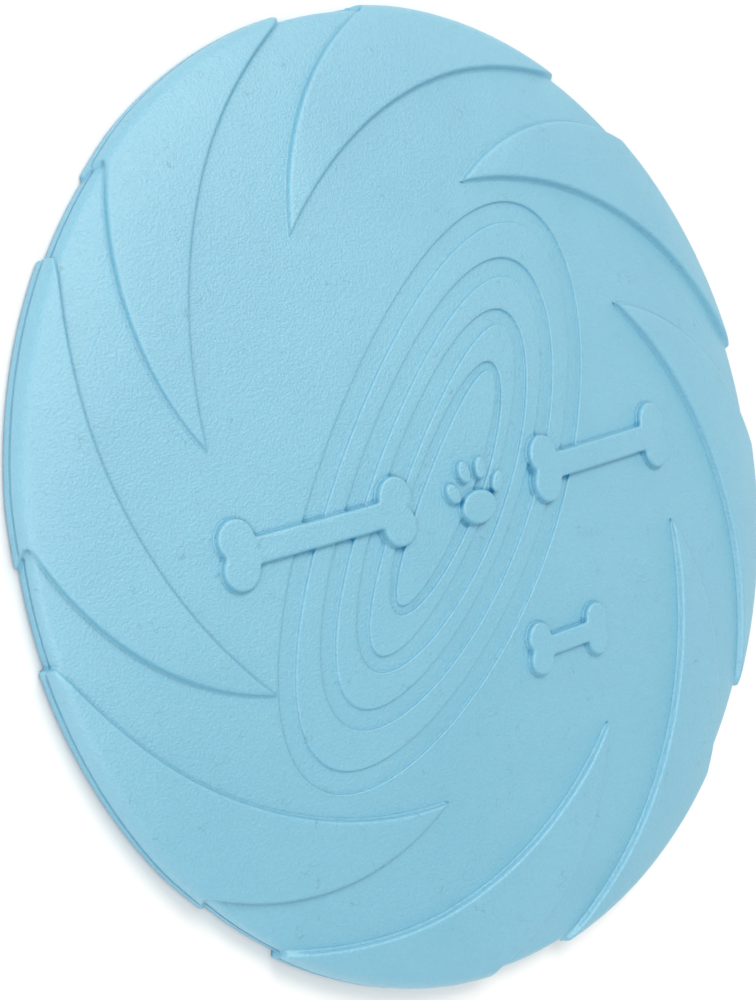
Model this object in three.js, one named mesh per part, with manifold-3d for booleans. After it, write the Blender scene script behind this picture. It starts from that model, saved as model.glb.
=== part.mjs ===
// Soft rubber flying disc for a dog: a domed web in a rounded rim, with eight swirling vanes.
// Millimetres, +Z up, lying rim down. The origin is on the floor under the centre of the crown.
// The real disc is one moulding, and each mesh here is one moulded feature of it.
import * as THREE from 'three';
import { mergeVertices } from 'three/addons/utils/BufferGeometryUtils.js';
import Module from 'manifold-3d';

const wasm = await Module();
wasm.setup();

// Driving dimensions
const DISC_RADIUS = 95;            // to the outside of the vanes
const VANE_RISE = 1.3;             // how far a vane stands out of the web and the rim
const RIM_RADIUS = DISC_RADIUS - VANE_RISE;
const CROWN_HEIGHT = 17.6;         // top of the web above the floor, at the centre
const WEB_THICKNESS = 2.6;
const GAP = 0.3;                   // clearance between neighbouring solids
const SEGMENTS = 72;               // facets around the disc, nine to a vane

// Web and rim
const WEB_EDGE = 86;               // radius where the web ends and the rim begins
const WEB_CIRCLES = [74, 80];      // rings of the web between the oval grooves and its edge
const WEB_BLEND = [0.35, 0.7];     // rings between the outer oval and the first circle
const SHOULDER_START = 92.5;       // radius where the dome turns into the rounded shoulder
const SHOULDER_STEPS = 4;
const RIM_INNER_RADIUS = 90;
const RIM_INNER_TOP = 2.2;         // height of the inner wall before it turns under the web
const RIM_INNER_TURN = 88.5;       // radius where it has become the underside of the web
const PARTING_HEIGHT = 2.3;        // mould line round the outside wall
const PARTING_STEP = 0.25;         // the wall is this much narrower under the mould line
const EDGE_BREAK = 0.5;            // chamfer at the resting edge

// Vanes: two arcs from an inner tip out to the rim, drawn with the tip on +X
const VANE_COUNT = 8;
const FIRST_TIP_ANGLE = 27;        // degrees
const TIP_RADIUS = 59.8;
const LEADING_CENTRE = new THREE.Vector2(25.7, -41.4);
const TRAILING_CENTRE = new THREE.Vector2(-20.5, -26.5);
const VANE_RADII = [57, 62, 68, 74, 80, 86, 90];
const VANE_CUT_RADIUS = 99;        // outside the disc, so that the cut goes right through
const VANE_SEAT = 0.35;            // clearance under a vane
const VANE_FOOT = 0.3;             // a vane stops this far above the floor
const ARC_DIVISIONS = 7;

// Oval grooves and bands in the middle of the web: half-lengths and half-widths
const OVAL_CENTRE = new THREE.Vector2(-5.4, 1.2);
const OVAL_ANGLE = 47.5;           // degrees from +X
const OVAL_SEGMENTS = 48;
const GROOVE_DEPTH = 0.55;
const OVAL_RINGS = [
  { name: 'oval_ring_outer', groove: [63.4, 28.5], band: [58.9, 24.3], end: [50.8, 20.6] },
  { name: 'oval_ring_middle', groove: [50.8, 20.6], band: [46.7, 16.7], end: [39.3, 13.9] },
  { name: 'oval_ring_inner', groove: [39.3, 13.9], band: [36.1, 9.6], end: [27.6, 7.7] },
];
const OVAL_CENTRE_PIECE = { groove: [27.6, 7.7], band: [25.7, 5.3], waist: [13, 2.7] };

// Raised emblem: a bone, a paw and a bone in one row, and a small bone under it
const EMBLEM_RISE = 1.35;
const EMBLEM_SEAT = 0.5;           // clearance under an emblem piece
const ROW_Y = -0.7;
const BONES = [
  { name: 'bone_left', x: -37.8, y: ROW_Y, length: 43.5, height: 13.4 },
  { name: 'bone_right', x: 37.8, y: ROW_Y, length: 43.5, height: 13.4 },
  { name: 'bone_small', x: 18.5, y: -34.3, length: 23, height: 10.5 },
];
const LOBE_SHARE = 0.29;           // radius of a bone's lobe, as a share of the bone's height
const SHAFT_SHARE = 0.19;          // half the shaft's width, as a share of the height
const SHAFT_STEPS = 6;
const PAW_PAD = { x: 0, y: -3.4, halfWidth: 4.5, halfHeight: 3.3, tilt: 0 };
const PAW_TOES = [
  { x: -5.9, y: 0.3, tilt: 30 }, { x: -2.2, y: 3.7, tilt: 10 },
  { x: 2.2, y: 3.7, tilt: -10 }, { x: 5.9, y: 0.3, tilt: -30 },
];
const TOE = { halfWidth: 1.5, halfHeight: 2.3 };
const ROUND_DIVISIONS = 10;

const RUBBER = { color: 0x91cbdf, roughness: 0.62, metalness: 0 };

const rad = THREE.MathUtils.degToRad;

// Height of the dome's top surface over the floor: nearly flat in the middle,
// falling faster and faster towards the shoulder.
function crown(radius) {
  const s = radius / DISC_RADIUS;
  return CROWN_HEIGHT - 15.2 * s ** 2 + 6 * s ** 4 - 4.35 * s ** 10;
}

// How far the dome leans outwards at a radius, in radians.
function crownTilt(radius) {
  const step = 0.01;
  return Math.atan((crown(radius - step) - crown(radius + step)) / (2 * step));
}

function offsetPoint(radius, height, tilt, offset) {
  return new THREE.Vector2(radius + offset * Math.sin(tilt), height + offset * Math.cos(tilt));
}

// The disc's outer skin from the dome over the shoulder to the foot of the wall,
// moved out by `offset` along its normal.
function skin(radii, offset, foot) {
  const points = radii.map((r) => offsetPoint(r, crown(r), crownTilt(r), offset));
  const startTilt = crownTilt(SHOULDER_START);
  const bend = (RIM_RADIUS - SHOULDER_START) / (1 - Math.sin(startTilt));
  const bendHeight = crown(SHOULDER_START) - bend * Math.cos(startTilt);
  for (let i = 0; i <= SHOULDER_STEPS; i += 1) {
    const tilt = THREE.MathUtils.lerp(startTilt, Math.PI / 2, i / SHOULDER_STEPS);
    const radius = RIM_RADIUS - bend + bend * Math.sin(tilt);
    points.push(offsetPoint(radius, bendHeight + bend * Math.cos(tilt), tilt, offset));
  }
  const wall = RIM_RADIUS + offset;
  points.push(new THREE.Vector2(wall, PARTING_HEIGHT));
  points.push(new THREE.Vector2(wall - PARTING_STEP, PARTING_HEIGHT - PARTING_STEP));
  points.push(new THREE.Vector2(wall - PARTING_STEP, foot));
  return points;
}

// A closed ring of revolution about Z, from a profile that runs anticlockwise.
function revolve(profile) {
  return new THREE.LatheGeometry([...profile, profile[0]], SEGMENTS).rotateX(Math.PI / 2);
}

// A lathed solid whose rings follow plan curves of their own instead of circles. Each ring
// gives its plan point at an angle, and how far it lies under the crown.
function contour(rings, segments, closed) {
  const loop = closed ? [...rings, rings[0]] : rings;
  const profile = loop.map((ring, k) => new THREE.Vector2(k + 1, 0));
  const geometry = new THREE.LatheGeometry(profile, segments);
  const position = geometry.attributes.position;
  for (let i = 0; i < position.count; i += 1) {
    const ring = loop[i % loop.length];
    const turn = Math.floor(i / loop.length) % segments;
    const plan = ring.at((2 * Math.PI * turn) / segments);
    position.setXYZ(i, plan.x, plan.y, crown(plan.length()) - ring.drop);
  }
  geometry.computeVertexNormals();
  return geometry;
}

// A plan curve: an oval about the oval centre, grown by `margin`.
function oval([halfLength, halfWidth], margin) {
  return (angle) => {
    const own = angle - rad(OVAL_ANGLE);
    const point = new THREE.Vector2(
      (halfLength + margin) * Math.cos(own),
      (halfWidth + margin) * Math.sin(own),
    );
    return point.rotateAround(new THREE.Vector2(), rad(OVAL_ANGLE)).add(OVAL_CENTRE);
  };
}

function circle(radius) {
  return (angle) => new THREE.Vector2(radius * Math.cos(angle), radius * Math.sin(angle));
}

function blend(from, to, share) {
  return (angle) => from(angle).lerp(to(angle), share);
}

function toSolid(geometry) {
  const bare = geometry.clone();
  bare.deleteAttribute('normal');
  bare.deleteAttribute('uv');
  const merged = mergeVertices(bare, 1e-4);
  return new wasm.Manifold(new wasm.Mesh({
    numProp: 3,
    vertProperties: new Float32Array(merged.attributes.position.array),
    triVerts: new Uint32Array(merged.index.array),
  }));
}

function toGeometry(solid) {
  const mesh = solid.getMesh();
  const geometry = new THREE.BufferGeometry();
  geometry.setAttribute('position', new THREE.BufferAttribute(mesh.vertProperties, 3));
  geometry.setIndex(new THREE.BufferAttribute(mesh.triVerts, 1));
  geometry.computeVertexNormals();
  return geometry;
}

function addPiece(group, name, geometry) {
  const mesh = new THREE.Mesh(geometry, new THREE.MeshStandardMaterial(RUBBER));
  mesh.name = name;
  group.add(mesh);
  return mesh;
}

// The web between the oval grooves and the rim.
function flightPlate() {
  const innerEdge = oval(OVAL_RINGS[0].groove, GAP / 2);
  const firstCircle = circle(WEB_CIRCLES[0]);
  const curves = [
    innerEdge,
    ...WEB_BLEND.map((share) => blend(innerEdge, firstCircle, share)),
    ...WEB_CIRCLES.map(circle),
    circle(WEB_EDGE - GAP / 2),
  ];
  const under = curves.map((at) => ({ at, drop: WEB_THICKNESS }));
  const over = curves.map((at) => ({ at, drop: 0 })).reverse();
  return contour([...under, ...over], SEGMENTS, true);
}

// The thick outer ring: shoulder, side wall and the flat edge that the disc rests on.
function gripRim() {
  const start = WEB_EDGE + GAP / 2;
  const underWeb = (radius) => new THREE.Vector2(radius, crown(radius) - WEB_THICKNESS);
  return revolve([
    ...skin([start, 89], 0, EDGE_BREAK).reverse(),
    underWeb(start),
    underWeb(RIM_INNER_TURN),
    new THREE.Vector2(RIM_INNER_RADIUS, RIM_INNER_TOP),
    new THREE.Vector2(RIM_INNER_RADIUS, EDGE_BREAK),
    new THREE.Vector2(RIM_INNER_RADIUS + EDGE_BREAK, 0),
    new THREE.Vector2(RIM_RADIUS - PARTING_STEP - EDGE_BREAK, 0),
  ]);
}

// Where an arc that starts at the vane's tip meets the outside of the rim.
function arcToRim(centre) {
  const radius = centre.distanceTo(new THREE.Vector2(TIP_RADIUS, 0));
  const reach = RIM_RADIUS ** 2 - centre.lengthSq() - radius ** 2;
  const end = centre.angle() - 2 * Math.PI + Math.acos(reach / (2 * centre.length() * radius));
  const start = Math.atan2(-centre.y, TIP_RADIUS - centre.x);
  const point = new THREE.Vector2(Math.cos(end), Math.sin(end)).multiplyScalar(radius).add(centre);
  return { radius, start, end, point };
}

// A vane in plan: out along the leading arc, round outside the rim, back on the trailing arc.
function vaneOutline() {
  const lead = arcToRim(LEADING_CENTRE);
  const trail = arcToRim(TRAILING_CENTRE);
  const shape = new THREE.Shape();
  shape.moveTo(TIP_RADIUS, 0);
  shape.absarc(LEADING_CENTRE.x, LEADING_CENTRE.y, lead.radius, lead.start, lead.end, true);
  shape.absarc(0, 0, VANE_CUT_RADIUS, lead.point.angle(), trail.point.angle(), true);
  shape.absarc(TRAILING_CENTRE.x, TRAILING_CENTRE.y, trail.radius, trail.end, trail.start, false);
  return shape;
}

// A vane is the part of a raised skin, over the dome, shoulder and wall, inside that outline.
function vane() {
  const under = skin(VANE_RADII, VANE_SEAT, VANE_FOOT);
  const over = skin(VANE_RADII, VANE_RISE, VANE_FOOT);
  const layer = revolve([...under, ...over.reverse()]);
  const column = new THREE.ExtrudeGeometry(vaneOutline(), {
    depth: 2 * CROWN_HEIGHT, bevelEnabled: false, curveSegments: ARC_DIVISIONS,
  });
  column.translate(0, 0, -CROWN_HEIGHT / 2);
  return toGeometry(toSolid(layer).intersect(toSolid(column)));
}

// One groove with the raised band inside it, as a full-thickness ring of the web.
function ovalRing({ groove, band, end }) {
  const outer = oval(groove, -GAP / 2);
  const step = oval(band, 0);
  const inner = oval(end, GAP / 2);
  return contour([
    { at: inner, drop: WEB_THICKNESS }, { at: outer, drop: WEB_THICKNESS },
    { at: outer, drop: GROOVE_DEPTH }, { at: step, drop: GROOVE_DEPTH },
    { at: step, drop: 0 }, { at: inner, drop: 0 },
  ], OVAL_SEGMENTS, true);
}

// The innermost groove and the island in the middle of it.
function ovalCentre({ groove, band, waist }) {
  const middle = () => OVAL_CENTRE.clone();
  const outer = oval(groove, -GAP / 2);
  const step = oval(band, 0);
  return contour([
    { at: middle, drop: WEB_THICKNESS }, { at: oval(waist, 0), drop: WEB_THICKNESS },
    { at: outer, drop: WEB_THICKNESS }, { at: outer, drop: GROOVE_DEPTH },
    { at: step, drop: GROOVE_DEPTH }, { at: step, drop: 0 },
    { at: oval(waist, 0), drop: 0 }, { at: middle, drop: 0 },
  ], OVAL_SEGMENTS, false);
}

// A dog bone in plan, centred on the origin, with two round lobes at each end.
function boneOutline(length, height) {
  const lobe = LOBE_SHARE * height;
  const shaft = SHAFT_SHARE * height;
  const lobeX = length / 2 - lobe;
  const lobeY = height / 2 - lobe;
  const neck = Math.asin((lobeY - shaft) / lobe);
  const notch = Math.asin(lobeY / lobe);
  const neckX = lobeX - lobe * Math.cos(neck);
  const shape = new THREE.Shape();
  shape.moveTo(-neckX, shaft);
  for (const side of [1, -1]) {
    for (let i = 1; i <= SHAFT_STEPS; i += 1) {
      shape.lineTo(side * neckX * ((2 * i) / SHAFT_STEPS - 1), side * shaft);
    }
    const turn = side > 0 ? 0 : Math.PI;
    shape.absarc(side * lobeX, side * lobeY, lobe, turn + Math.PI + neck, turn - notch, true);
    shape.absarc(side * lobeX, -side * lobeY, lobe, turn + notch, turn - Math.PI - neck, true);
  }
  return shape;
}

function ovalOutline(halfWidth, halfHeight, tilt) {
  const shape = new THREE.Shape();
  shape.absellipse(0, 0, halfWidth, halfHeight, 0, 2 * Math.PI, false, rad(tilt));
  return shape;
}

// Extrudes an outline at its place on the disc and lays it over the dome.
function emblemPiece(outline, x, y) {
  const geometry = new THREE.ExtrudeGeometry(outline, {
    depth: EMBLEM_RISE - EMBLEM_SEAT, bevelEnabled: false, curveSegments: ROUND_DIVISIONS,
  });
  geometry.translate(x, y, EMBLEM_SEAT);
  const position = geometry.attributes.position;
  for (let i = 0; i < position.count; i += 1) {
    const radius = Math.hypot(position.getX(i), position.getY(i));
    position.setZ(i, position.getZ(i) + crown(radius));
  }
  geometry.computeVertexNormals();
  return geometry;
}

function addEmblem(group) {
  for (const { name, x, y, length, height } of BONES) {
    addPiece(group, name, emblemPiece(boneOutline(length, height), x, y));
  }
  const pad = ovalOutline(PAW_PAD.halfWidth, PAW_PAD.halfHeight, PAW_PAD.tilt);
  addPiece(group, 'paw_pad', emblemPiece(pad, PAW_PAD.x, ROW_Y + PAW_PAD.y));
  PAW_TOES.forEach(({ x, y, tilt }, i) => {
    const toe = ovalOutline(TOE.halfWidth, TOE.halfHeight, tilt);
    addPiece(group, `paw_toe_${i + 1}`, emblemPiece(toe, x, ROW_Y + y));
  });
}

function addVanes(group) {
  const geometry = vane();
  for (let i = 0; i < VANE_COUNT; i += 1) {
    const mesh = addPiece(group, `vane_${i + 1}`, geometry);
    mesh.rotation.z = rad(FIRST_TIP_ANGLE + (360 / VANE_COUNT) * i);
  }
}

const disc = new THREE.Group();
addPiece(disc, 'flight_plate', flightPlate());
addPiece(disc, 'grip_rim', gripRim());
for (const ring of OVAL_RINGS) addPiece(disc, ring.name, ovalRing(ring));
addPiece(disc, 'oval_centre', ovalCentre(OVAL_CENTRE_PIECE));
addVanes(disc);
addEmblem(disc);

export default disc;
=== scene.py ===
import math

import bpy
import numpy as np
from mathutils import Matrix, Vector, geometry


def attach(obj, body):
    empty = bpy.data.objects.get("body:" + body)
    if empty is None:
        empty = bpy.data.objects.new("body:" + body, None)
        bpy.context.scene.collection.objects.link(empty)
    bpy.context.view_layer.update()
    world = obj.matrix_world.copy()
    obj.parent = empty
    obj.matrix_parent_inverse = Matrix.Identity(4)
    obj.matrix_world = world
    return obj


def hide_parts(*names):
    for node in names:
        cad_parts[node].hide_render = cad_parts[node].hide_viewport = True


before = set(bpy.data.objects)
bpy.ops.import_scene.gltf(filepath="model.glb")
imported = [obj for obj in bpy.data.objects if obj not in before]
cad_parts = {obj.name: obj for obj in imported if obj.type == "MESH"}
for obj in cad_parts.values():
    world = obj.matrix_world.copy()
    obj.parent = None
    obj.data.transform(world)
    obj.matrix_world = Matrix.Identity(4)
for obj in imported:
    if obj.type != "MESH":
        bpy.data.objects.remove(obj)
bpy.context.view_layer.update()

# Looks of a soft rubber flying disc: one moulding, with a piece for each moulded feature.
# Sizes are in millimetres up to add_mesh, which makes them metres.
MM = 0.001

DISC_RADIUS = 94.99             # over the vanes
VANE_RISE = 1.3
RIM_RADIUS = DISC_RADIUS - VANE_RISE
CROWN_HEIGHT = 17.6
CROWN_CURVE = [(2, -15.2), (4, 6.0), (10, -4.35)]      # powers of the radius share, and heights
WEB_THICKNESS = 2.6
WEB_EDGE = 86.0                 # radius where the web's piece ends and the rim's begins
SHOULDER_START = 92.5
TURNS = 384                     # steps around the disc

RIM_INNER_RADIUS = 90.0
FOOT_ROUND = 0.5                # radius at the two edges of the rim's foot
UNDER_FILLET = 2.2              # where the rim's inside turns into the web's underside
QUARTER_STEPS = 6               # steps round a quarter turn of the foot

VANE_COUNT = 8
FIRST_TIP_ANGLE = 27.0
TIP_RADIUS = 59.8
LEADING_CENTRE = np.array([25.7, -41.4])        # of the edge's arc, with the tip on +X
TRAILING_CENTRE = np.array([-20.5, -26.5])
LEADING_END = -33.6             # degrees from the tip where the leading edge meets the rim
TRAILING_END = -64.2
TRAILING_BEND = 1.1             # degrees further round that the trailing edge ends
BEND_IN = (80.0, 93.0)          # distances out along the skin where that bend begins and is full
LEADING_SLANT = 0.5             # degrees for each millimetre down the wall
SLANT_GAP = 0.6                 # the slant begins this far past the shoulder's start
CORNER_REACH = 0.45             # an edge's corner at the rim is averaged this far each way
CORNER_SAMPLES = 19
CORNER_IN = (88.0, 91.0)        # distances out where that averaging begins and is full
LOW_END_FADE = 0.35             # share of the rise lost at the leading end, down on the wall
LOW_END_DROP = 4.0              # that loss is full this far past the shoulder's start,
LOW_END_WIDTH = 10.0            # and is gone this far inside the leading edge
VANE_SINK = 0.35                # a vane's underside lies this far in the web

OVAL_CENTRE = np.array([-5.4, 1.2])
OVAL_ANGLE = math.radians(47.5)
GROOVE_DEPTH = 0.55
# Each ring's name, and the half sizes of its groove, of its band and of the next groove
OVAL_RINGS = [
    ("oval_ring_outer", (63.4, 28.5), (58.9, 24.3), (50.8, 20.6)),
    ("oval_ring_middle", (50.8, 20.6), (46.7, 16.7), (39.3, 13.9)),
    ("oval_ring_inner", (39.3, 13.9), (36.1, 9.6), (27.6, 7.7)),
]
OVAL_MIDDLE = ((27.6, 7.7), (25.7, 5.3))
ISLAND_SPINE = (1.0, 0.25)      # half sizes of the tiny oval that the island's rings shrink to
SEAM_MARGIN = 0.5               # a piece of the web ends this far outside the next groove
FLOOR_STEPS = 6                 # steps across a groove's floor

EMBLEM_RISE = 1.3
ROW_Y = -0.7
# Each bone's name, middle, length and height
BONES = [
    ("bone_left", -37.8, ROW_Y, 43.5, 13.4),
    ("bone_right", 37.8, ROW_Y, 43.5, 13.4),
    ("bone_small", 18.5, -34.3, 23.0, 10.5),
]
LOBE_SHARE = 0.29               # radius of a bone's lobes, as a share of its height
SHAFT_SHARE = 0.19              # half width of its shaft
LOBE_STEPS = 26
SHAFT_STEPS = 40
ELLIPSE_STEPS = 48
PAW_PAD = (0.0, -3.4, 4.5, 3.3, 0.0)            # middle, half sizes and tilt
PAW_TOES = [(-5.9, 0.3, 30.0), (-2.2, 3.7, 10.0), (2.2, 3.7, -10.0), (5.9, 0.3, -30.0)]
TOE_SIZE = (1.5, 2.3)
OUTLINE_SPACING = 0.3
OUTLINE_ROUNDS = 3              # rounds of smoothing that soften an outline's corners
TOP_GRID = 0.75                 # spacing of the points inside an emblem piece's top
TOP_MARGIN = 0.35               # they keep this far from the top's edge


# ---------------------------------------------------------------- shape of the moulding

def crown(radius):
    """Height of the dome's outer skin."""
    share = np.asarray(radius, float) / DISC_RADIUS
    return sum((height * share ** power for power, height in CROWN_CURVE), CROWN_HEIGHT)


def crown_tilt(radius):
    """Slope of that skin, as an angle."""
    step = 0.01
    return np.arctan((crown(radius - step) - crown(radius + step)) / (2 * step))


# The shoulder is an arc from the dome to the upright wall: its radius, length and centre's height
START_TILT = float(crown_tilt(SHOULDER_START))
BEND = (RIM_RADIUS - SHOULDER_START) / (1 - math.sin(START_TILT))
BEND_LENGTH = BEND * (math.pi / 2 - START_TILT)
BEND_HEIGHT = float(crown(SHOULDER_START)) - BEND * math.cos(START_TILT)
WALL_START = SHOULDER_START + BEND_LENGTH      # distance out along the skin
WALL_END = WALL_START + BEND_HEIGHT - FOOT_ROUND

# Mould line round the wall: height, and how far the wall stands in or out there
MOULD_LINE = [(0.0, -0.2), (1.75, -0.2), (1.95, -0.14), (2.1, 0.0), (2.24, 0.0), (2.34, -0.24),
              (2.5, -0.3), (2.68, -0.26), (2.82, -0.06), (3.1, 0.0), (9.0, 0.0)]
# Heights of the rim's rings down the wall, closest together at the mould line
WALL_HEIGHTS = (3.2, 2.95, 2.8, 2.68, 2.6, 2.52, 2.44, 2.36, 2.31, 2.26, 2.21, 2.16, 2.08, 2.0,
                1.88, 1.75, 1.2, FOOT_ROUND)


def mould_step(height):
    """How far the wall stands out at a height."""
    heights, steps = zip(*MOULD_LINE)
    return np.interp(height, heights, steps)


def skin(distance, offset=0.0):
    """Radius and height on the outer skin. `distance` is the radius as far as the shoulder's
    start and goes on along the skin from there. `offset` is along the normal."""
    d = np.asarray(distance, float)
    dome = np.minimum(d, SHOULDER_START)
    on_wall = np.maximum(d - WALL_START, 0.0)
    tilt = np.where(
        d <= SHOULDER_START,
        crown_tilt(dome),
        START_TILT + np.clip(d - SHOULDER_START, 0, BEND_LENGTH) / BEND,
    )
    radius = np.where(
        d <= SHOULDER_START, dome, RIM_RADIUS - BEND + BEND * np.sin(tilt)
    )
    height = np.where(
        d <= SHOULDER_START, crown(dome), BEND_HEIGHT + BEND * np.cos(tilt) - on_wall
    )
    radius = radius + offset * np.sin(tilt)
    height = height + offset * np.cos(tilt)
    past = np.clip((d - SHOULDER_START) / BEND_LENGTH, 0, 1)
    return radius + past * mould_step(height), height


def smooth(x):
    x = np.clip(x, 0.0, 1.0)
    return x * x * (3 - 2 * x)


# ---------------------------------------------------------------- meshes

SHARP_EDGE = 50.0               # degrees; an edge that turns more isn't shaded smooth


def add_mesh(name, points, faces):
    """A piece of the moulding, in place of the CAD node of the same name."""
    mesh = bpy.data.meshes.new(name)
    mesh.from_pydata([tuple(p) for p in np.asarray(points, float) * MM], [], faces)
    mesh.validate()
    mesh.shade_smooth()
    mesh.set_sharp_from_angle(angle=math.radians(SHARP_EDGE))
    mesh.materials.append(rubber)
    piece = bpy.data.objects.new("rubber_" + name, mesh)
    bpy.context.scene.collection.objects.link(piece)
    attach(piece, "root")
    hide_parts(name)


def loft(rings, closed=True, cap=False):
    """Points and outward faces through rings of equal length that run anticlockwise from
    above. Going from ring to ring, the solid lies on the left. `closed` joins the last ring
    to the first, and `cap` closes the first and the last with a fan to a point in the middle."""
    count = len(rings[0])
    points = [p for ring in rings for p in ring]
    faces = []
    pairs = len(rings) if closed else len(rings) - 1
    for k in range(pairs):
        a, b = k * count, ((k + 1) % len(rings)) * count
        for i in range(count):
            j = (i + 1) % count
            faces.append((a + i, a + j, b + j, b + i))
    if cap:
        bottom, top = len(points), len(points) + 1
        points += [np.mean(rings[0], axis=0), np.mean(rings[-1], axis=0)]
        last = (len(rings) - 1) * count
        for i in range(count):
            j = (i + 1) % count
            faces.append((bottom, j, i))
            faces.append((top, last + i, last + j))
    return points, faces


def ring_on_web(plan, drop):
    """A ring over plan points, `drop` under the crown there."""
    height = crown(np.hypot(plan[:, 0], plan[:, 1])) - drop
    return np.column_stack([plan, height])


ANGLES = np.arange(TURNS) * 2 * math.pi / TURNS


def circle(radius):
    return np.column_stack([radius * np.cos(ANGLES), radius * np.sin(ANGLES)])


def oval(half_sizes, margin=0.0):
    """Plan points of one of the ovals, `margin` outside its edge."""
    own = ANGLES - OVAL_ANGLE
    x = (half_sizes[0] + margin) * np.cos(own)
    y = (half_sizes[1] + margin) * np.sin(own)
    c, s = math.cos(OVAL_ANGLE), math.sin(OVAL_ANGLE)
    return np.column_stack([x * c - y * s, x * s + y * c]) + OVAL_CENTRE


def flight_plate():
    inner = oval(OVAL_RINGS[0][1], SEAM_MARGIN)
    outer = circle(WEB_EDGE)
    # Narrow steps at both edges keep the shading even where it meets the next piece
    shares = np.concatenate([[0, 0.004], np.linspace(0.03, 0.97, 34), [0.996, 1]])
    over = [ring_on_web(inner + (outer - inner) * t, 0.0) for t in shares]
    under = [ring_on_web(inner + (outer - inner) * t, WEB_THICKNESS) for t in shares[::3]]
    points, faces = loft(over[::-1] + under)
    add_mesh("flight_plate", points, faces)


def grip_rim():
    """A profile turned round the axis: over the shoulder, down the wall, round the foot, up
    the inside and back under the web."""
    close, clear = WEB_EDGE + 0.1, WEB_EDGE + 0.6
    outer = np.concatenate([
        [WEB_EDGE, close], np.linspace(clear, SHOULDER_START, 12),
        SHOULDER_START + BEND_LENGTH * np.linspace(0, 1, 17)[1:],
    ])
    radius, height = skin(outer)
    profile = list(zip(radius, height))
    for z in WALL_HEIGHTS:
        profile.append((RIM_RADIUS + float(mould_step(z)), z))
    quarter = [math.pi / (2 * QUARTER_STEPS) * k for k in range(1, QUARTER_STEPS + 1)]
    foot = profile[-1][0] - FOOT_ROUND
    for a in quarter:
        profile.append((foot + FOOT_ROUND * math.cos(a), FOOT_ROUND * (1 - math.sin(a))))
    inner_foot = RIM_INNER_RADIUS + FOOT_ROUND
    profile.append((inner_foot, 0.0))
    for a in quarter:
        profile.append((inner_foot - FOOT_ROUND * math.sin(a), FOOT_ROUND * (1 - math.cos(a))))
    # The fillet under the web is a curve from the wall, pulled towards the corner
    corner_height = float(crown(RIM_INNER_RADIUS)) - WEB_THICKNESS
    corner = np.array([RIM_INNER_RADIUS, corner_height])
    start = np.array([RIM_INNER_RADIUS, corner_height - UNDER_FILLET])
    profile.append(tuple(start))
    end_radius = RIM_INNER_RADIUS - UNDER_FILLET
    end = np.array([end_radius, float(crown(end_radius)) - WEB_THICKNESS])
    for t in np.linspace(0, 1, 10)[1:]:
        p = (1 - t) ** 2 * start + 2 * t * (1 - t) * corner + t ** 2 * end
        profile.append(tuple(p))
    for r in (clear, WEB_EDGE):
        profile.append((r, float(crown(r)) - WEB_THICKNESS))
    rings = [np.column_stack([circle(r), np.full(TURNS, z)]) for r, z in profile]
    points, faces = loft(rings)
    # This profile has the solid on its right, so the faces are turned over
    add_mesh("grip_rim", points, [face[::-1] for face in faces])


# Cross-section of a groove's side: how far outside the groove's edge, and how deep
GROOVE_SIDE = [(SEAM_MARGIN, 0.0), (0.24, 0.0), (0.13, 0.015), (0.05, 0.06), (-0.01, 0.14),
               (-0.13, 0.42), (-0.19, 0.5), (-0.29, 0.54), (-0.44, GROOVE_DEPTH)]


def groove_rings(groove, band):
    """Rings down a groove's outer side, across its floor and up its inner side."""
    rings = [ring_on_web(oval(groove, m), d) for m, d in GROOVE_SIDE]
    foot_margin = GROOVE_SIDE[-1][0]
    for t in np.linspace(0, 1, FLOOR_STEPS + 1)[1:-1]:
        sizes = [g + (b - g) * t for g, b in zip(groove, band)]
        margin = foot_margin * (1 - 2 * t)
        rings.append(ring_on_web(oval(sizes, margin), GROOVE_DEPTH))
    for m, d in GROOVE_SIDE[::-1]:
        rings.append(ring_on_web(oval(band, -m), d))
    return rings


def oval_ring(name, groove, band, end):
    """A groove and the band inside it, as far as the next groove, `end`."""
    rings = groove_rings(groove, band)
    inside = oval(end, SEAM_MARGIN)
    outside = oval(band, -SEAM_MARGIN)
    for t in np.linspace(0, 1, 10)[1:]:
        rings.append(ring_on_web(outside + (inside - outside) * t, 0.0))
    edge = oval(groove, SEAM_MARGIN)
    for t in np.linspace(0, 1, 6):
        rings.append(ring_on_web(inside + (edge - inside) * t, WEB_THICKNESS))
    points, faces = loft(rings)
    add_mesh(name, points, faces)


def oval_centre():
    """The smallest groove and the island inside it."""
    groove, band = OVAL_MIDDLE
    edge = oval(groove, SEAM_MARGIN)
    middle = oval(ISLAND_SPINE)
    rings = [ring_on_web(middle + (edge - middle) * t, WEB_THICKNESS)
             for t in np.linspace(0, 1, 12)]
    rings += groove_rings(groove, band)
    island = oval(band, -SEAM_MARGIN)
    rings += [ring_on_web(island + (middle - island) * t, 0.0)
              for t in np.linspace(0, 1, 26)[1:]]
    points, faces = loft(rings, closed=False, cap=True)
    add_mesh("oval_centre", points, faces)


# ---------------------------------------------------------------- vanes

def arc_angle(centre, distance, end):
    """Angle from the tip, in degrees, of a vane's edge at a distance out along the skin. The
    edge is an arc on the dome, and it runs straight down the rim from its end."""
    radius = np.minimum(distance, RIM_RADIUS)
    reach = math.hypot(*centre)
    arc = math.hypot(TIP_RADIUS - centre[0], centre[1])
    turn = np.arccos(np.clip((radius ** 2 + reach ** 2 - arc ** 2) / (2 * radius * reach), -1, 1))
    angle = np.degrees(math.atan2(centre[1], centre[0]) + turn)
    return np.maximum(angle, end)


def fade_in(distances, limits):
    """From 0 at the first limit to 1 at the second."""
    return smooth((distances - limits[0]) / (limits[1] - limits[0]))


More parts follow.
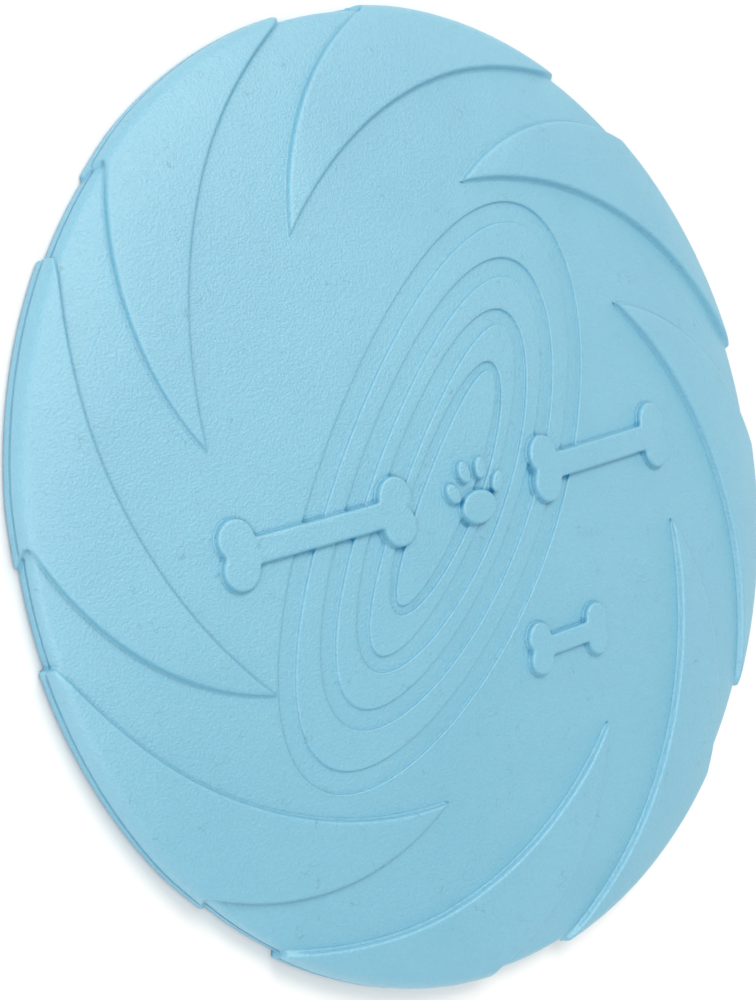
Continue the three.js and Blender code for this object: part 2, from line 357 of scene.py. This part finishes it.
def edge_line(centre, end, distances):
    """The edge's angle at each distance, with its corner at the rim rounded. The trailing edge
    ends a little further round, and the leading edge slants down the wall."""
    spread = np.linspace(-CORNER_REACH, CORNER_REACH, CORNER_SAMPLES)
    weight = np.cos(spread / CORNER_REACH * math.pi / 2) ** 2
    total = sum(w * arc_angle(centre, distances + x, end) for x, w in zip(spread, weight))
    rounded = total / weight.sum()
    near = fade_in(distances, CORNER_IN)
    angle = arc_angle(centre, distances, end) * (1 - near) + rounded * near
    if centre is TRAILING_CENTRE:
        return angle - TRAILING_BEND * fade_in(distances, BEND_IN)
    return angle + LEADING_SLANT * np.maximum(distances - SHOULDER_START - SLANT_GAP, 0)


def nearest(points, line):
    """Distance from each point to a dense line of points, in blocks that fit in memory."""
    block = 2000
    result = np.empty(len(points))
    for k in range(0, len(points), block):
        gap = points[k:k + block, None, :] - line[None, :, :]
        result[k:k + block] = np.sqrt((gap ** 2).sum(2).min(1))
    return result


def on_skin(distance, angle, offset=0.0):
    """Points at a distance out along the skin and an angle in degrees, `offset` above it."""
    radius, height = skin(distance, offset)
    turn = np.radians(angle)
    return np.stack([radius * np.cos(turn), radius * np.sin(turn), height + 0 * turn], axis=-1)


# A vane's step: distance inside its edge, and height. The leading step leans more at the tip.
STEP = [(-0.5, -0.02), (-0.34, 0.012), (-0.22, 0.06), (-0.1, 0.18), (0.0, 0.38), (0.14, 0.94),
        (0.22, 1.1), (0.34, 1.21), (0.5, 1.275), (0.75, VANE_RISE)]
TIP_LEAN = 0.45                 # how much wider the leading step's wall is at the tip
# The tip of a vane is cut down: where the cut starts, which way it falls and how steeply, and
# the distances out along the skin from which it fades and where it has ended
CUT_START = np.array([63.5, -10.0])
CUT_NORMAL = np.array([0.609, 0.793])
CUT_SLOPE = 0.062
CUT_FADE = (74.0, 80.0)
# A vane's grid: distances inside each edge, of which the first OUTSIDE lie outside it. Where a
# vane is narrow the two sides shrink to SIDES_SHARE of its width.
TRAILING_SIDE = np.array([-0.5, -0.34, -0.22, -0.1, 0, 0.07, 0.14, 0.22, 0.34, 0.5, 0.75, 1.1])
LEADING_SIDE = np.array([-0.5, -0.34, -0.22, -0.1, 0, 0.1, 0.2, 0.32, 0.5, 0.75, 1.0, 1.3, 1.6,
                         1.9, 2.2, 2.5, 2.8, 3.2, 3.7])
OUTSIDE = 4
MIDDLE_POINTS = 16
SIDES_SHARE = 0.8
EDGE_SAMPLES = 2400             # points along an edge, to measure distances from it
TIP_ROWS = (0.02, 1.52)         # past the tip: the stretch where the rows begin close together
ROWS_CLOSER = 91.4              # from here out they stand closer together again
# The rows past the shoulder, closest together where they cross the mould line
WALL_ROWS = np.array([0.15, 0.35, 0.55, 0.7, 0.82, 0.94, 1.05, 1.15, 1.2, 1.26, 1.32, 1.4, 1.5,
                      1.65, 1.9, 2.4])


def vane_rows():
    """Distances out along the skin of the grid's rows, from the tip to the foot."""
    start, end = TIP_ROWS
    return np.concatenate([
        TIP_RADIUS + start + np.linspace(0, 1, 9)[:-1] ** 1.5 * (end - start),
        np.linspace(TIP_RADIUS + end, ROWS_CLOSER, 58)[:-1],
        np.linspace(ROWS_CLOSER, WALL_START, 26),
        WALL_START + WALL_ROWS,
        [WALL_END],
    ])


def vane_shape():
    """A grid over one vane with its tip on +X: angle, distance out along the skin, and height
    above it."""
    rows = vane_rows()
    trail = edge_line(TRAILING_CENTRE, TRAILING_END, rows)
    lead = edge_line(LEADING_CENTRE, LEADING_END, rows)
    fine = np.linspace(TIP_RADIUS, WALL_END, EDGE_SAMPLES)
    trail_line = on_skin(fine, edge_line(TRAILING_CENTRE, TRAILING_END, fine))
    lead_line = on_skin(fine, edge_line(LEADING_CENTRE, LEADING_END, fine))
    radius = np.minimum(rows, RIM_RADIUS)

    def slant(angles):
        """Share of a step around the disc that is square to the edge."""
        slope = np.gradient(np.radians(angles), rows) * radius
        return 1 / np.sqrt(1 + slope ** 2)

    trail_slant, lead_slant = slant(trail), slant(lead)
    width = np.radians(lead - trail) * radius
    angle = []
    for k in range(len(rows)):
        t = TRAILING_SIDE / trail_slant[k]
        u = LEADING_SIDE / lead_slant[k]
        room = max(width[k], 0.0)
        fit = min(1.0, SIDES_SHARE * room / (t[-1] + u[-1]))
        t = np.where(t > 0, t * fit, t)
        u = np.where(u > 0, u * fit, u)
        middle = np.linspace(t[-1], room - u[-1], MIDDLE_POINTS + 2)[1:-1]
        across = np.concatenate([t, middle, (room - u)[::-1]])
        angle.append(trail[k] + np.degrees(across / radius[k]))
    angle = np.array(angle)
    distance = np.repeat(rows[:, None], angle.shape[1], axis=1)

    base = on_skin(distance, angle)
    flat = base.reshape(-1, 3)
    column = np.arange(angle.shape[1])
    d_trail = nearest(flat, trail_line).reshape(angle.shape)
    d_trail *= np.where(column < OUTSIDE, -1.0, 1.0)
    d_lead = nearest(flat, lead_line).reshape(angle.shape)
    d_lead *= np.where(column >= len(column) - OUTSIDE, -1.0, 1.0)
    steps, rises = (np.array(values) for values in zip(*STEP))
    along = np.clip((distance - TIP_RADIUS) / (SHOULDER_START - TIP_RADIUS), 0, 1)
    trail_height = np.interp(d_trail, steps, rises)
    lean = 1 + TIP_LEAN / steps[-1] * (1 - along)
    lead_height = np.interp(d_lead / np.where(d_lead > 0, lean, 1), steps, rises)
    beyond = (base[:, :, :2] - CUT_START) @ CUT_NORMAL
    cut = CUT_SLOPE * np.maximum(beyond, 0) * fade_in(distance, CUT_FADE[::-1])
    low_end = smooth((distance - SHOULDER_START) / LOW_END_DROP)
    low_end = low_end * smooth(1 - d_lead / LOW_END_WIDTH)
    height = np.minimum(lead_height, trail_height) * (1 - LOW_END_FADE * low_end)
    return angle, distance, height - cut * np.clip(height / VANE_RISE, 0, 1)


# A vane's foot, rounded under its last row
FOOT_STEPS = 5
FOOT_GAP = 0.04                 # the foot ends this far over the ground
LEAST_DROP = 0.1
UNDER_DROP = 0.05               # how far its underside falls at each step


def vane_foot(top, bottom):
    """Rows round the foot, over and under, from the last row of each."""
    lift = top[:, 2]
    drop = np.maximum(lift - FOOT_GAP, LEAST_DROP)
    radial = np.hypot(top[:, 0], top[:, 1])
    over, under = [], []
    for k in range(1, FOOT_STEPS + 1):
        turn = math.pi / (2 * FOOT_STEPS) * k
        share = (radial - drop * (1 - math.cos(turn))) / radial
        height = lift - drop * math.sin(turn)
        over.append(np.column_stack([top[:, 0] * share, top[:, 1] * share, height]))
        under.append(bottom + np.array([0, 0, -UNDER_DROP * k]))
    return over, under


def add_vanes():
    """One closed vane, turned to each of its places."""
    angle, distance, height = vane_shape()
    top = on_skin(distance, angle, height)
    bottom = on_skin(distance, angle, np.minimum(height, 0) - VANE_SINK)
    over, under = vane_foot(top[-1], bottom[-1])
    top, bottom = np.concatenate([top, over]), np.concatenate([bottom, under])
    lines, count = top.shape[:2]
    points = np.concatenate([top.reshape(-1, 3), bottom.reshape(-1, 3)])
    low = lines * count             # where the underside's points begin
    faces = []
    for i in range(lines - 1):
        for j in range(count - 1):
            a, b = i * count + j, (i + 1) * count + j
            faces.append((a, b, b + 1, a + 1))
            faces.append((low + a, low + a + 1, low + b + 1, low + b))
    for i in range(lines - 1):
        a, b = i * count, (i + 1) * count
        faces.append((a, low + a, low + b, b))
        a, b = a + count - 1, b + count - 1
        faces.append((a, b, low + b, low + a))
    last = (lines - 1) * count
    for j in range(count - 1):
        faces.append((j, j + 1, low + j + 1, low + j))
        faces.append((last + j, low + last + j, low + last + j + 1, last + j + 1))
    for k in range(VANE_COUNT):
        turn = math.radians(FIRST_TIP_ANGLE + 360 / VANE_COUNT * k)
        c, s = math.cos(turn), math.sin(turn)
        turned = points @ np.array([[c, s, 0], [-s, c, 0], [0, 0, 1]])
        add_mesh("vane_%d" % (k + 1), turned, faces)


# ---------------------------------------------------------------- raised emblem

def bone_outline(length, height):
    """A bone's outline about its middle: a straight shaft with two lobes at each end."""
    lobe, shaft = LOBE_SHARE * height, SHAFT_SHARE * height
    lobe_x, lobe_y = length / 2 - lobe, height / 2 - lobe
    neck = math.asin((lobe_y - shaft) / lobe)
    notch = math.asin(lobe_y / lobe)
    neck_x = lobe_x - lobe * math.cos(neck)
    points = []
    for side in (1, -1):
        for t in np.linspace(-1, 1, SHAFT_STEPS)[:-1]:
            points.append((side * neck_x * t, side * shaft))
        turn = 0.0 if side > 0 else math.pi
        near_arc = (turn + math.pi + neck, turn - notch)
        far_arc = (turn + notch, turn - math.pi - neck)
        for (start, end), y in ((near_arc, side * lobe_y), (far_arc, -side * lobe_y)):
            for a in np.linspace(start, end, LOBE_STEPS)[:-1]:
                points.append((side * lobe_x + lobe * math.cos(a), y + lobe * math.sin(a)))
    return np.array(points)[::-1]


def ellipse_outline(half_width, half_height, tilt):
    a = np.arange(ELLIPSE_STEPS) * 2 * math.pi / ELLIPSE_STEPS
    x, y = half_width * np.cos(a), half_height * np.sin(a)
    c, s = math.cos(math.radians(tilt)), math.sin(math.radians(tilt))
    return np.column_stack([x * c - y * s, x * s + y * c])


def relax(outline):
    """The outline with its corners softened."""
    for _ in range(OUTLINE_ROUNDS):
        outline = 0.5 * outline + 0.25 * (np.roll(outline, 1, 0) + np.roll(outline, -1, 0))
    return outline


def even(outline):
    """Points along a closed outline, evenly spaced."""
    ends = np.vstack([outline, outline[:1]])
    length = np.concatenate([[0], np.cumsum(np.hypot(*np.diff(ends, axis=0).T))])
    count = int(round(length[-1] / OUTLINE_SPACING))
    at = np.arange(count) * length[-1] / count
    return np.column_stack([np.interp(at, length, ends[:, 0]), np.interp(at, length, ends[:, 1])])


def inset(outline, amount):
    """The outline moved inwards."""
    ahead = np.roll(outline, -1, 0) - np.roll(outline, 1, 0)
    normal = np.column_stack([-ahead[:, 1], ahead[:, 0]])
    normal /= np.hypot(*normal.T)[:, None]
    return outline + normal * amount


# An emblem piece's side: how far inside its outline, and height over the web
EMBLEM_SIDE = [(-0.3, -0.9), (-0.3, -0.02), (-0.2, 0.02), (-0.1, 0.1), (-0.03, 0.24),
               (0.03, 0.55), (0.08, 0.86), (0.14, 1.04), (0.24, 1.17), (0.36, 1.25), (0.52, 1.29),
               (0.7, EMBLEM_RISE)]


def groove_drop(plan):
    """How far the web's top is under the crown at plan points, because of the grooves."""
    c, s = math.cos(OVAL_ANGLE), math.sin(OVAL_ANGLE)
    x = (plan - OVAL_CENTRE) @ np.array([c, s])
    y = (plan - OVAL_CENTRE) @ np.array([-s, c])

    def beyond(half_sizes):
        """About how far outside an oval the points are."""
        a, b = half_sizes
        share = np.hypot(x / a, y / b)
        return (share - 1) * share / (x ** 2 / a ** 3 + y ** 2 / b ** 3 + 1e-9)

    margins, drops = zip(*GROOVE_SIDE[::-1])
    total = np.zeros(len(plan))
    for groove, band in [ring[1:3] for ring in OVAL_RINGS] + [OVAL_MIDDLE]:
        total += np.interp(np.maximum(beyond(groove), -beyond(band)), margins, drops)
    return total


def emblem_ring(outline, amount, rise):
    """One ring of an emblem's side. Its foot follows the grooves, and its top doesn't."""
    plan = inset(outline, amount)
    share = 1 - min(max(rise / EMBLEM_RISE, 0.0), 1.0)
    return ring_on_web(plan, groove_drop(plan) * share - rise)


def contains(polygon, x, y):
    x0, y0 = polygon[:, 0], polygon[:, 1]
    x1, y1 = np.roll(x0, -1), np.roll(y0, -1)
    crosses = ((y0 > y) != (y1 > y)) & (
        x < (x1 - x0) * (y - y0) / np.where(y1 == y0, 1e-12, y1 - y0) + x0
    )
    return crosses.sum() % 2 == 1


def grid_inside(outline):
    """Points of an even grid, well inside a closed outline."""
    low, high = outline.min(0), outline.max(0)
    shrunk = inset(outline, TOP_MARGIN)
    return [
        (x, y)
        for x in np.arange(low[0] + TOP_GRID / 2, high[0], TOP_GRID)
        for y in np.arange(low[1] + TOP_GRID / 2, high[1], TOP_GRID)
        if contains(shrunk, x, y)
    ]


def fill(plan, count):
    """Triangulate plan points inside their outline, which is the first `count` of them: the
    points found, their faces, and the plan points that each one stands for."""
    loop = [(i, (i + 1) % count) for i in range(count)]
    points = [Vector((x, y)) for x, y in plan]
    inside_only = 1
    found = geometry.delaunay_2d_cdt(points, loop, [], inside_only, 1e-6)
    return found[0], found[2], found[3]


def facing(points, faces, lookup, up):
    """The flat faces, turned up or down, with their points looked up in the mesh."""
    turned = []
    for face in faces:
        corners = [points[i] for i in face]
        area = sum(p.x * q.y - q.x * p.y for p, q in zip(corners, corners[1:] + corners[:1]))
        order = face if (area > 0) == up else face[::-1]
        turned.append(tuple(lookup[i] for i in order))
    return turned


def emblem_piece(name, outline, place):
    outline = even(relax(even(outline)))
    rings = [emblem_ring(outline + place, amount, rise) for amount, rise in EMBLEM_SIDE]
    count = len(outline)
    points, faces = loft(rings, closed=False)
    top = (rings[-1] - np.array([*place, 0]))[:, :2]
    flat, triangles, origins = fill(list(top) + grid_inside(top), count)
    last = (len(rings) - 1) * count
    lookup = []
    for vertex, origin in zip(flat, origins):
        if origin and origin[0] < count:
            lookup.append(last + origin[0])
        else:
            lookup.append(len(points))
            plan = np.array([[vertex.x, vertex.y]]) + place
            points.append(ring_on_web(plan, -EMBLEM_RISE)[0])
    faces += facing(flat, triangles, lookup, up=True)
    flat, triangles, origins = fill(rings[0][:, :2], count)
    faces += facing(flat, triangles, [origin[0] for origin in origins], up=False)
    add_mesh(name, points, faces)


def add_emblem():
    for name, x, y, length, height in BONES:
        emblem_piece(name, bone_outline(length, height), np.array([x, y]))
    x, y, half_width, half_height, tilt = PAW_PAD
    emblem_piece("paw_pad", ellipse_outline(half_width, half_height, tilt),
                 np.array([x, ROW_Y + y]))
    for k, (x, y, tilt) in enumerate(PAW_TOES):
        emblem_piece("paw_toe_%d" % (k + 1), ellipse_outline(*TOE_SIZE, tilt),
                     np.array([x, ROW_Y + y]))


# ---------------------------------------------------------------- rubber

# Colours are linear. The noises' scales are for each metre.
LIGHT_BLUE = (0.152, 0.476, 0.648)
DEEP_BLUE = (0.121, 0.430, 0.604)
# Painted shade: the deep blue that the colour turns to near walls, in recesses and at steps
PAINTED_SHADE_BLUE = (0.0, 0.200, 0.390)
SPECK_COLOUR = (0.10, 0.30, 0.40)
HAIR_COLOUR = (0.06, 0.26, 0.36)
BROAD_SHARE = 0.45              # of the colour's change that is broad; the rest is mottle
SPECK_STRENGTH = 0.5
HAIR_STRENGTH = 0.55
HAIR_WIDTH = 0.013              # how far from a contour of its noise a mark reaches
PAINTED_SHADE_REACH = 0.0013           # metres from a wall within which the colour darkens, as painted shade


def make_rubber():
    """Satin rubber: mottled, with specks, hair-like marks, painted shade in the recesses and a
    fine grain.
    """
    material = bpy.data.materials.new("rubber")
    material.use_nodes = True
    nodes, links = material.node_tree.nodes, material.node_tree.links
    nodes.clear()
    output = nodes.new("ShaderNodeOutputMaterial")
    shader = nodes.new("ShaderNodeBsdfPrincipled")
    links.new(shader.outputs["BSDF"], output.inputs["Surface"])
    place = nodes.new("ShaderNodeTexCoord")

    def noise(scale, detail, roughness=0.5):
        node = nodes.new("ShaderNodeTexNoise")
        node.inputs["Scale"].default_value = scale
        node.inputs["Detail"].default_value = detail
        node.inputs["Roughness"].default_value = roughness
        node.inputs["Distortion"].default_value = 0.0
        links.new(place.outputs["Object"], node.inputs["Vector"])
        return node.outputs["Fac"]

    def ramp(value, low, high, start=0.0, end=1.0):
        node = nodes.new("ShaderNodeMapRange")
        node.inputs["From Min"].default_value = low
        node.inputs["From Max"].default_value = high
        node.inputs["To Min"].default_value = start
        node.inputs["To Max"].default_value = end
        links.new(value, node.inputs["Value"])
        return node.outputs["Result"]

    def math_node(kind, a, b=0.0):
        node = nodes.new("ShaderNodeMath")
        node.operation = kind
        for socket, value in zip(node.inputs, (a, b)):
            if isinstance(value, (int, float)):
                socket.default_value = value
            else:
                links.new(value, socket)
        return node.outputs["Value"]

    def mix(factor, a, b):
        """Colour `a` where the factor is 0, and `b` where it is 1."""
        node = nodes.new("ShaderNodeMix")
        node.data_type = "RGBA"
        links.new(factor, node.inputs["Factor"])
        for socket, value in ((node.inputs[6], a), (node.inputs[7], b)):
            if isinstance(value, tuple):
                socket.default_value = (*value, 1.0)
            else:
                links.new(value, socket)
        return node.outputs[2]

    broad = ramp(noise(38.0, detail=3.0, roughness=0.55), 0.35, 0.65)
    mottle = ramp(noise(1100.0, detail=3.0, roughness=0.8), 0.3, 0.7)
    blend = math_node("ADD", math_node("MULTIPLY", broad, BROAD_SHARE),
                      math_node("MULTIPLY", mottle, 1 - BROAD_SHARE))
    colour = mix(blend, DEEP_BLUE, LIGHT_BLUE)
    speck = ramp(noise(1500.0, detail=1.0, roughness=0.4), 0.745, 0.8)
    speck = math_node("MULTIPLY", speck, ramp(noise(90.0, detail=1.0), 0.5, 0.62))
    colour = mix(math_node("MULTIPLY", speck, SPECK_STRENGTH), colour, SPECK_COLOUR)
    # Short hair-like marks: pieces of a noise's contour lines
    contour = math_node("ABSOLUTE", math_node("SUBTRACT", noise(330.0, detail=1.0), 0.5))
    hair = math_node("MULTIPLY", ramp(contour, 0.0, HAIR_WIDTH, 1.0, 0.0),
                     ramp(noise(240.0, detail=0.0), 0.64, 0.67))
    colour = mix(math_node("MULTIPLY", hair, HAIR_STRENGTH), colour, HAIR_COLOUR)
    # Painted shade: ambient occlusion darkens the colour to a deep blue near walls and fades the
    # coat there too
    shade_occlusion = nodes.new("ShaderNodeAmbientOcclusion")
    shade_occlusion.samples = 6
    shade_occlusion.inputs["Distance"].default_value = PAINTED_SHADE_REACH
    unshaded_share = ramp(shade_occlusion.outputs["AO"], 0.57, 0.83)
    colour = mix(unshaded_share, PAINTED_SHADE_BLUE, colour)
    links.new(colour, shader.inputs["Base Color"])
    links.new(unshaded_share, shader.inputs["Coat Weight"])
    rough = ramp(noise(300.0, detail=3.0, roughness=0.6), 0.3, 0.7, 0.52, 0.62)
    links.new(rough, shader.inputs["Roughness"])
    shader.inputs["IOR"].default_value = 1.5
    shader.inputs["Specular IOR Level"].default_value = 0.5
    shader.inputs["Coat IOR"].default_value = 2.2
    shader.inputs["Coat Roughness"].default_value = 0.5
    shader.inputs["Subsurface Weight"].default_value = 0.25
    shader.inputs["Subsurface Radius"].default_value = (0.25, 0.8, 1.0)
    shader.inputs["Subsurface Scale"].default_value = 0.0008       # metres, as are the bumps

    grain = nodes.new("ShaderNodeBump")
    grain.inputs["Strength"].default_value = 1.0
    grain.inputs["Distance"].default_value = 0.0002
    links.new(noise(1900.0, detail=3.0, roughness=0.6), grain.inputs["Height"])
    waves = nodes.new("ShaderNodeBump")
    waves.inputs["Strength"].default_value = 0.6
    waves.inputs["Distance"].default_value = 0.0002
    links.new(noise(120.0, detail=2.0), waves.inputs["Height"])
    links.new(grain.outputs["Normal"], waves.inputs["Normal"])
    links.new(waves.outputs["Normal"], shader.inputs["Normal"])
    links.new(waves.outputs["Normal"], shader.inputs["Coat Normal"])
    return material


# ---------------------------------------------------------------- studio

# The camera's place in metres and its axes, fitted to the disc's outline, tips and ovals
CAMERA_PLACE = Vector((-0.3834, 0.0439, 0.4281))
CAMERA_RIGHT = Vector((0.7247, -0.2111, 0.6559))
CAMERA_UP = Vector((0.2132, 0.9739, 0.0779))
CAMERA_BACK = Vector((-0.6552, 0.0834, 0.7508))

# Each light's name, its way from the disc (up, back and right as the camera sees it),
# strength and colour
LIGHTS = [
    ("key", (0.62, 0.55, 0.5), 1.36, (1.0, 0.94, 0.86)),
    ("side", (-0.13, 0.95, -0.06), 1.16, (1.0, 0.95, 0.88)),
]
LIGHT_SPREAD = 34.0             # a light's width in degrees
WORLD_COLOUR = (0.95, 0.985, 1.0, 1.0)
HORIZON_STRENGTH = 1.0
WORLD_STRENGTH = 0.60           # higher up
WORLD_FADE = (0.10, 0.42)       # sines of the heights where it changes
FLOOR_HALF = 6.0
FLOOR_WHITE = (0.93, 0.93, 0.93, 1.0)


def add_camera():
    data = bpy.data.cameras.new("camera")
    data.sensor_width = 36.0
    data.lens = 106.8
    data.shift_y = 0.0227
    data.clip_start = 0.01
    camera = bpy.data.objects.new("camera", data)
    axes = Matrix((CAMERA_RIGHT, CAMERA_UP, CAMERA_BACK)).transposed()
    camera.matrix_world = Matrix.Translation(CAMERA_PLACE) @ axes.to_4x4()
    bpy.context.scene.collection.objects.link(camera)
    bpy.context.scene.camera = camera


def add_light(name, shares, strength, colour):
    """A far, broad light, so that the floor is lit evenly."""
    up, back, right = shares
    direction = CAMERA_UP * up + CAMERA_BACK * back + CAMERA_RIGHT * right
    data = bpy.data.lights.new(name, "SUN")
    data.energy = strength
    data.angle = math.radians(LIGHT_SPREAD)
    data.color = colour
    lamp = bpy.data.objects.new(name, data)
    lamp.location = direction.normalized()
    lamp.rotation_euler = direction.to_track_quat("Z", "Y").to_euler()
    bpy.context.scene.collection.objects.link(lamp)


def add_world():
    """Soft light all round, and a white wall behind the floor's edge."""
    world = bpy.data.worlds.new("studio")
    world.use_nodes = True
    nodes, links = world.node_tree.nodes, world.node_tree.links
    background = nodes["Background"]
    background.inputs["Color"].default_value = WORLD_COLOUR
    place = nodes.new("ShaderNodeTexCoord")
    axes = nodes.new("ShaderNodeSeparateXYZ")
    links.new(place.outputs["Generated"], axes.inputs["Vector"])
    level = nodes.new("ShaderNodeMapRange")
    level.interpolation_type = "SMOOTHSTEP"
    level.inputs["From Min"].default_value = WORLD_FADE[0]
    level.inputs["From Max"].default_value = WORLD_FADE[1]
    level.inputs["To Min"].default_value = HORIZON_STRENGTH
    level.inputs["To Max"].default_value = WORLD_STRENGTH
    links.new(axes.outputs["Z"], level.inputs["Value"])
    links.new(level.outputs["Result"], background.inputs["Strength"])
    bpy.context.scene.world = world


def add_floor():
    half = FLOOR_HALF
    mesh = bpy.data.meshes.new("floor")
    mesh.from_pydata([(-half, -half, 0), (half, -half, 0), (half, half, 0), (-half, half, 0)],
                     [], [(0, 1, 2, 3)])
    floor = bpy.data.objects.new("floor", mesh)
    floor.location.z = -0.0002
    paint = bpy.data.materials.new("floor")
    paint.use_nodes = True
    shader = paint.node_tree.nodes["Principled BSDF"]
    shader.inputs["Base Color"].default_value = FLOOR_WHITE
    shader.inputs["Roughness"].default_value = 0.9
    mesh.materials.append(paint)
    bpy.context.scene.collection.objects.link(floor)


rubber = make_rubber()
flight_plate()
grip_rim()
for ring in OVAL_RINGS:
    oval_ring(*ring)
oval_centre()
add_vanes()
add_emblem()
add_camera()
add_world()
for light in LIGHTS:
    add_light(*light)
add_floor()
bpy.context.scene.view_settings.view_transform = "Standard"
